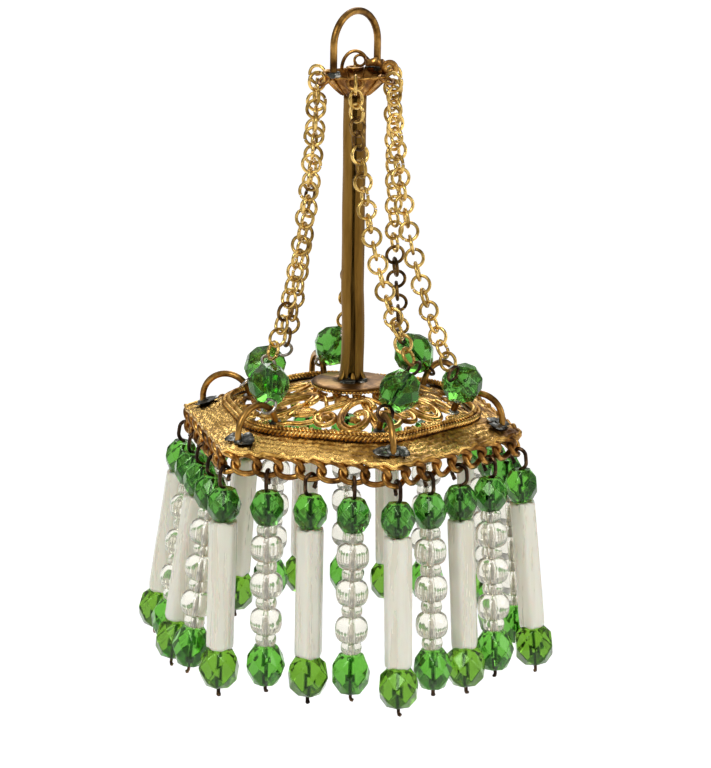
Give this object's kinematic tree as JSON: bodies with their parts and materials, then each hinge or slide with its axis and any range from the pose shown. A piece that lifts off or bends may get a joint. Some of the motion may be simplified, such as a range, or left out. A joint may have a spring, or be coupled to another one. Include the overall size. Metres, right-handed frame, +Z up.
{
  "type": "miniature chandelier",
  "caption": "Dolls-house chandelier: gilt filigree hexagon on a rolled stem, hung by a wire bail, with slack chains and swinging strung glass drops.",
  "frame": {"origin": "inside top of the wire bail, the point it hangs from", "axes": "+Z up along the stem; -Y faces the front corner of the hexagon"},
  "size_m": [0.048, 0.0507, 0.0816],
  "materials": {
    "gilt_brass": "worn gilt, stamped and wire brass",
    "tarnished_brass": "brown tarnish over gilt",
    "wire": "blackened thin wire",
    "solder": "dull grey soft solder",
    "green_glass": "faceted emerald green glass, worn on the edges",
    "lime_glass": "faceted yellow-green glass",
    "clear_glass": "clear pressed glass",
    "white_glass": "satin white bugle tube"
  },
  "bodies": {
    "frame": {"bail": "gilt_brass", "crown": "gilt_brass", "stem": "gilt_brass", "centre_disc": "gilt_brass", "border_plate": "gilt_brass", "rope_trim": "gilt_brass", "scrollwork": "gilt_brass", "gallery": "tarnished_brass", "lift_loops": "gilt_brass", "solder": "solder"},
    "chain_1": {"chain_1": "gilt_brass", "chain_1_bead": "green_glass"},
    "chain_2": {"chain_2": "gilt_brass", "chain_2_bead": "green_glass"},
    "chain_3": {"chain_3": "gilt_brass", "chain_3_bead": "green_glass"},
    "chain_4": {"chain_4": "gilt_brass", "chain_4_bead": "green_glass"},
    "chain_5": {"chain_5": "gilt_brass", "chain_5_bead": "green_glass"},
    "chain_6": {"chain_6": "gilt_brass", "chain_6_bead": "green_glass"},
    "drop_01": {"drop_01_strung": "green_glass", "drop_01_tube": "white_glass"},
    "drop_02": {"drop_02_strung": "green_glass"},
    "drop_03": {"drop_03_strung": "green_glass", "drop_03_tube": "white_glass"},
    "drop_04": {"drop_04_strung": "green_glass"},
    "drop_05": {"drop_05_strung": "green_glass", "drop_05_tube": "white_glass"},
    "drop_06": {"drop_06_strung": "green_glass"},
    "drop_07": {"drop_07_strung": "green_glass", "drop_07_tube": "white_glass"},
    "drop_08": {"drop_08_strung": "green_glass"},
    "drop_09": {"drop_09_strung": "green_glass", "drop_09_tube": "white_glass"},
    "drop_10": {"drop_10_strung": "green_glass"},
    "drop_11": {"drop_11_strung": "green_glass", "drop_11_tube": "white_glass"},
    "drop_12": {"drop_12_strung": "green_glass"},
    "drop_13": {"drop_13_strung": "green_glass", "drop_13_tube": "white_glass"},
    "drop_14": {"drop_14_strung": "green_glass"},
    "drop_15": {"drop_15_strung": "green_glass", "drop_15_tube": "white_glass"},
    "drop_16": {"drop_16_strung": "green_glass"},
    "drop_17": {"drop_17_strung": "green_glass", "drop_17_tube": "white_glass"},
    "drop_18": {"drop_18_strung": "green_glass"},
    "drop_19": {"drop_19_strung": "green_glass", "drop_19_tube": "white_glass"},
    "drop_20": {"drop_20_strung": "green_glass"},
    "drop_21": {"drop_21_strung": "green_glass", "drop_21_tube": "white_glass"},
    "drop_22": {"drop_22_strung": "green_glass"},
    "drop_23": {"drop_23_strung": "green_glass", "drop_23_tube": "white_glass"},
    "drop_24": {"drop_24_strung": "green_glass"}
  },
  "joints": [
    {"name": "chain_1_sway", "type": "hinge", "parent": "frame", "child": "chain_1", "pos_m": [0, -0.01478, -0.04585], "axis": [-0.0341, 0.2409, 0.97], "range_deg": [-20, 20]},
    {"name": "chain_2_sway", "type": "hinge", "parent": "frame", "child": "chain_2", "pos_m": [0.01315, -0.00759, -0.04571], "axis": [-0.2346, 0.0961, 0.9673], "range_deg": [-20, 20]},
    {"name": "chain_3_sway", "type": "hinge", "parent": "frame", "child": "chain_3", "pos_m": [0.01206, 0.00696, -0.0464], "axis": [-0.1717, -0.1381, 0.9754], "range_deg": [-20, 20]},
    {"name": "chain_4_sway", "type": "hinge", "parent": "frame", "child": "chain_4", "pos_m": [0, 0.01401, -0.04632], "axis": [0.0338, -0.2202, 0.9749], "range_deg": [-20, 20]},
    {"name": "chain_5_sway", "type": "hinge", "parent": "frame", "child": "chain_5", "pos_m": [-0.01188, 0.00686, -0.04661], "axis": [0.2002, -0.0768, 0.9767], "range_deg": [-20, 20]},
    {"name": "chain_6_sway", "type": "hinge", "parent": "frame", "child": "chain_6", "pos_m": [-0.01213, -0.007, -0.04633], "axis": [0.1737, 0.1393, 0.9749], "range_deg": [-20, 20]},
    {"name": "drop_01_swing", "type": "hinge", "parent": "frame", "child": "drop_01", "pos_m": [0, -0.02125, -0.05286], "axis": [-1, 0, 0], "range_deg": [-4, 36]},
    {"name": "drop_02_swing", "type": "hinge", "parent": "frame", "child": "drop_02", "pos_m": [0.0046, -0.01859, -0.05286], "axis": [-0.866, -0.5, 0], "range_deg": [-9, 37]},
    {"name": "drop_03_swing", "type": "hinge", "parent": "frame", "child": "drop_03", "pos_m": [0.0092, -0.01594, -0.05286], "axis": [-0.866, -0.5, 0], "range_deg": [-24, 36]},
    {"name": "drop_04_swing", "type": "hinge", "parent": "frame", "child": "drop_04", "pos_m": [0.0138, -0.01328, -0.05286], "axis": [-0.866, -0.5, 0], "range_deg": [-10, 36]},
    {"name": "drop_05_swing", "type": "hinge", "parent": "frame", "child": "drop_05", "pos_m": [0.0184, -0.01063, -0.05286], "axis": [-0.5, -0.866, 0], "range_deg": [-6, 34]},
    {"name": "drop_06_swing", "type": "hinge", "parent": "frame", "child": "drop_06", "pos_m": [0.0184, -0.00531, -0.05286], "axis": [0, -1, 0], "range_deg": [-11, 35]},
    {"name": "drop_07_swing", "type": "hinge", "parent": "frame", "child": "drop_07", "pos_m": [0.0184, 0, -0.05286], "axis": [0, -1, 0], "range_deg": [-23, 37]},
    {"name": "drop_08_swing", "type": "hinge", "parent": "frame", "child": "drop_08", "pos_m": [0.0184, 0.00531, -0.05286], "axis": [0, -1, 0], "range_deg": [-12, 34]},
    {"name": "drop_09_swing", "type": "hinge", "parent": "frame", "child": "drop_09", "pos_m": [0.0184, 0.01063, -0.05286], "axis": [0.5, -0.866, 0], "range_deg": [-4, 36]},
    {"name": "drop_10_swing", "type": "hinge", "parent": "frame", "child": "drop_10", "pos_m": [0.0138, 0.01328, -0.05286], "axis": [0.866, -0.5, 0], "range_deg": [-9, 37]},
    {"name": "drop_11_swing", "type": "hinge", "parent": "frame", "child": "drop_11", "pos_m": [0.0092, 0.01594, -0.05286], "axis": [0.866, -0.5, 0], "range_deg": [-25, 35]},
    {"name": "drop_12_swing", "type": "hinge", "parent": "frame", "child": "drop_12", "pos_m": [0.0046, 0.01859, -0.05286], "axis": [0.866, -0.5, 0], "range_deg": [-8, 38]},
    {"name": "drop_13_swing", "type": "hinge", "parent": "frame", "child": "drop_13", "pos_m": [0, 0.02125, -0.05286], "axis": [1, 0, 0], "range_deg": [-4, 36]},
    {"name": "drop_14_swing", "type": "hinge", "parent": "frame", "child": "drop_14", "pos_m": [-0.0046, 0.01859, -0.05286], "axis": [0.866, 0.5, 0], "range_deg": [-9, 37]},
    {"name": "drop_15_swing", "type": "hinge", "parent": "frame", "child": "drop_15", "pos_m": [-0.0092, 0.01594, -0.05286], "axis": [0.866, 0.5, 0], "range_deg": [-25, 35]},
    {"name": "drop_16_swing", "type": "hinge", "parent": "frame", "child": "drop_16", "pos_m": [-0.0138, 0.01328, -0.05286], "axis": [0.866, 0.5, 0], "range_deg": [-12, 34]},
    {"name": "drop_17_swing", "type": "hinge", "parent": "frame", "child": "drop_17", "pos_m": [-0.0184, 0.01063, -0.05286], "axis": [0.5, 0.866, 0], "range_deg": [-9, 31]},
    {"name": "drop_18_swing", "type": "hinge", "parent": "frame", "child": "drop_18", "pos_m": [-0.0184, 0.00531, -0.05286], "axis": [0, 1, 0], "range_deg": [-14, 32]},
    {"name": "drop_19_swing", "type": "hinge", "parent": "frame", "child": "drop_19", "pos_m": [-0.0184, 0, -0.05286], "axis": [0, 1, 0], "range_deg": [-29, 31]},
    {"name": "drop_20_swing", "type": "hinge", "parent": "frame", "child": "drop_20", "pos_m": [-0.0184, -0.00531, -0.05286], "axis": [0, 1, 0], "range_deg": [-13, 33]},
    {"name": "drop_21_swing", "type": "hinge", "parent": "frame", "child": "drop_21", "pos_m": [-0.0184, -0.01063, -0.05286], "axis": [-0.5, 0.866, 0], "range_deg": [-2, 38]},
    {"name": "drop_22_swing", "type": "hinge", "parent": "frame", "child": "drop_22", "pos_m": [-0.0138, -0.01328, -0.05286], "axis": [-0.866, 0.5, 0], "range_deg": [-7, 39]},
    {"name": "drop_23_swing", "type": "hinge", "parent": "frame", "child": "drop_23", "pos_m": [-0.0092, -0.01594, -0.05286], "axis": [-0.866, 0.5, 0], "range_deg": [-21, 39]},
    {"name": "drop_24_swing", "type": "hinge", "parent": "frame", "child": "drop_24", "pos_m": [-0.0046, -0.01859, -0.05286], "axis": [-0.866, 0.5, 0], "range_deg": [-7, 39]}
  ]
}
